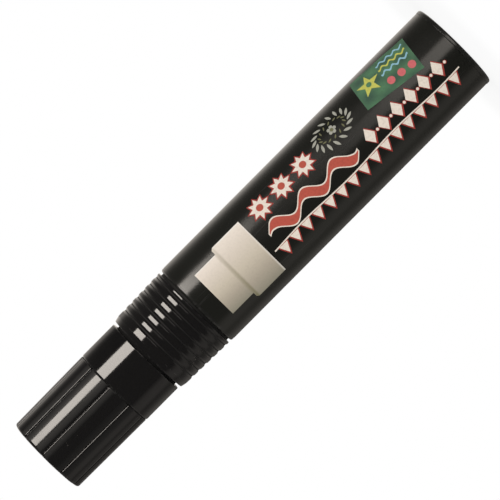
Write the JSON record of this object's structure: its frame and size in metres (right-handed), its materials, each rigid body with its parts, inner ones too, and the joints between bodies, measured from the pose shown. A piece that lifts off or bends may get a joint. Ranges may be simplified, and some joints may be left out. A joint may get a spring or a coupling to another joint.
{
  "type": "liquid chalk marker",
  "caption": "Round jumbo liquid chalk marker with a straight barrel, ringed grip collar, lobed pull-off cap, wide chisel nib and spring valve.",
  "frame": {"origin": "centre of the tail face, the marker standing on its tail with the cap on", "axes": "+Z along the axis from the tail to the crown of the cap; the printed front of the barrel faces -Y"},
  "size_m": [0.028, 0.028, 0.162],
  "materials": {
    "barrel_black": "satin moulded black plastic",
    "printed_film": "satin black film with a pale print",
    "gloss_black": "polished moulded black plastic",
    "seal_rubber": "dull black seal",
    "holder_white": "natural pale moulded plastic",
    "liner_white": "natural soft plastic",
    "nib_fibre": "cream pressed fibre",
    "spring_steel": "drawn steel wire",
    "ball_steel": "polished steel"
  },
  "bodies": {
    "barrel": {"tail_plug": "barrel_black", "barrel": "barrel_black", "printed_sleeve": "printed_film", "collar_gasket": "seal_rubber", "grip_collar": "gloss_black", "nib_holder": "holder_white", "valve_body": "holder_white", "valve_seat": "seal_rubber", "spring_cage": "holder_white", "valve_spring": "spring_steel"},
    "cap": {"cap_shell": "gloss_black", "cap_liner": "liner_white"},
    "nib": {"nib": "nib_fibre"},
    "valve_stem": {"valve_stem": "holder_white"},
    "mixing_ball": {"mixing_ball": "ball_steel"}
  },
  "joints": [
    {"name": "cap_pull", "type": "slide", "parent": "barrel", "child": "cap", "axis": [0, 0, 1], "range_m": [0, 0.04]},
    {"name": "nib_press", "type": "slide", "parent": "barrel", "child": "nib", "axis": [0, 0, -1], "range_m": [0, 0.0025], "stiffness_N_per_m": 600, "springref_m": -0.0025},
    {"name": "stem_lift", "type": "slide", "parent": "barrel", "child": "valve_stem", "axis": [0, 0, -1], "range_m": [0, 0.0025], "deforming": ["valve_spring"]},
    {"name": "ball_run", "type": "slide", "parent": "barrel", "child": "mixing_ball", "axis": [0, 0, 1], "range_m": [0, 0.0842]}
  ],
  "couplings": [
    {"joint": "stem_lift", "follows": "nib_press", "ratio": 1}
  ]
}
